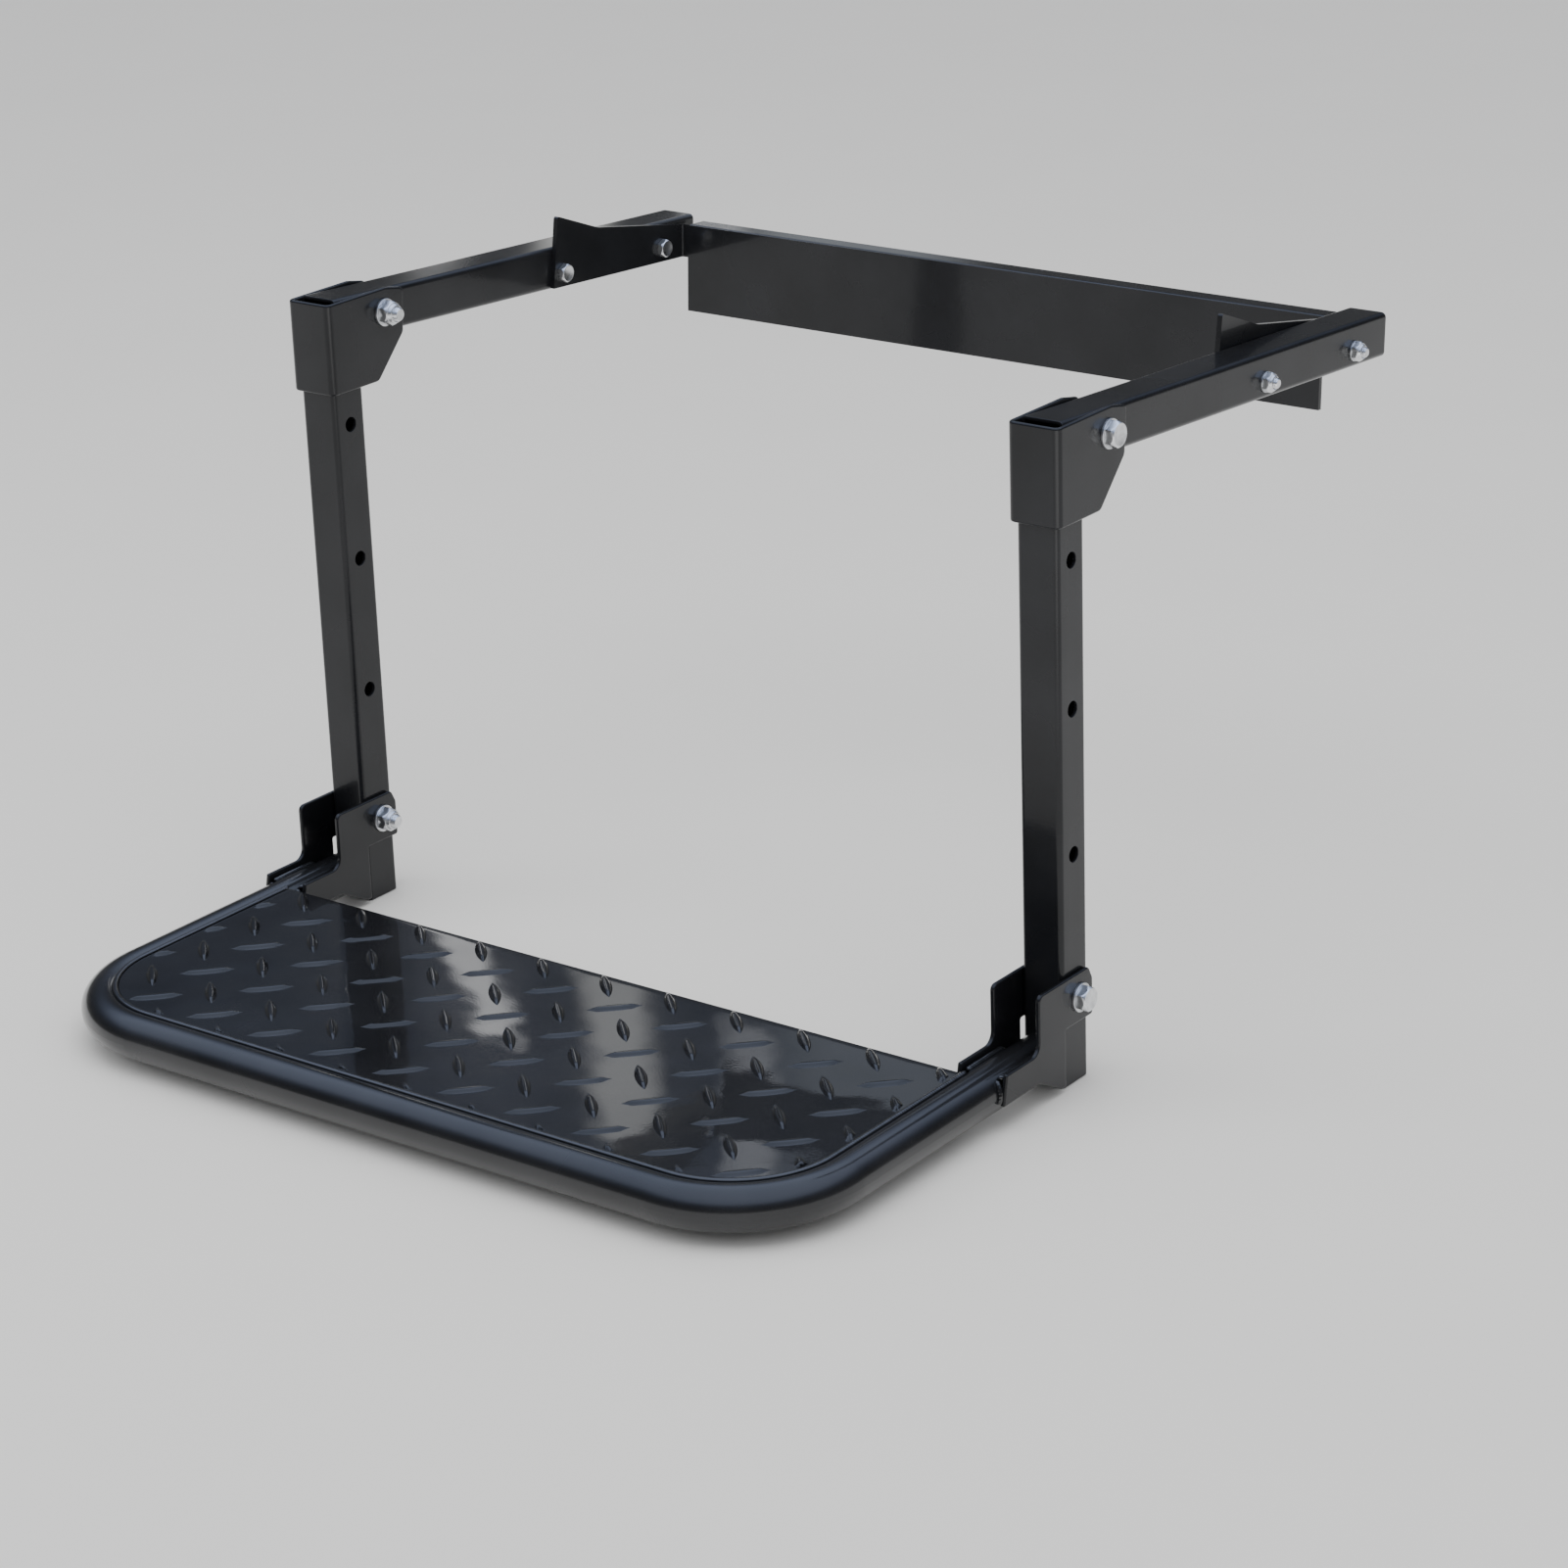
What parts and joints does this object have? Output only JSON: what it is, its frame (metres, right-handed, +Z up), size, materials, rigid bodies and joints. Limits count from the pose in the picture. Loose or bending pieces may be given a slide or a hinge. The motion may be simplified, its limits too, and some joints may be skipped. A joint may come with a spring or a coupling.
{
  "type": "folding tire step",
  "caption": "Folding step that hangs on a tyre: square-tube legs and arms, a folded hook bar behind the tyre and a diamond-pattern deck in a bent round tube.",
  "frame": {"origin": "midway between the two legs, on the axis of the deck's pivot bolts", "axes": "+Z up along the legs, +Y from the deck towards the tyre, +X along the deck to the right as seen by someone who faces the wheel"},
  "size_m": [0.5318, 0.593, 0.3701],
  "materials": {
    "powder_coat": "gloss black powder coat",
    "deck_coat": "gloss black powder coat over diamond tread",
    "zinc": "bright zinc plate"
  },
  "bodies": {
    "legs": {"left_leg": "powder_coat", "right_leg": "powder_coat", "left_upper_bracket": "powder_coat", "right_upper_bracket": "powder_coat", "left_arm_pivot_bolt": "zinc", "right_arm_pivot_bolt": "zinc", "left_arm_pivot_nut": "zinc", "right_arm_pivot_nut": "zinc", "left_arm_pivot_washers": "zinc", "right_arm_pivot_washers": "zinc", "left_deck_pivot_bolt": "zinc", "right_deck_pivot_bolt": "zinc", "left_deck_pivot_nut": "zinc", "right_deck_pivot_nut": "zinc", "left_deck_pivot_washers": "zinc", "right_deck_pivot_washers": "zinc"},
    "arms": {"left_arm": "powder_coat", "right_arm": "powder_coat", "hook_bar": "powder_coat", "left_hook_bolts": "zinc", "right_hook_bolts": "zinc", "left_hook_nuts": "zinc", "right_hook_nuts": "zinc", "left_hook_washers": "zinc", "right_hook_washers": "zinc"},
    "deck": {"deck_frame": "powder_coat", "deck_plate": "deck_coat", "left_outer_plate": "powder_coat", "left_inner_plate": "powder_coat", "right_inner_plate": "powder_coat", "right_outer_plate": "powder_coat"}
  },
  "joints": [
    {"name": "deck_fold", "type": "hinge", "parent": "legs", "child": "deck", "pos_m": [0, 0, 0], "axis": [-1, 0, 0], "range_deg": [0, 90]},
    {"name": "arm_fold", "type": "hinge", "parent": "legs", "child": "arms", "pos_m": [0, 0.031, 0.299], "axis": [-1, 0, 0], "range_deg": [0, 86.5]}
  ]
}
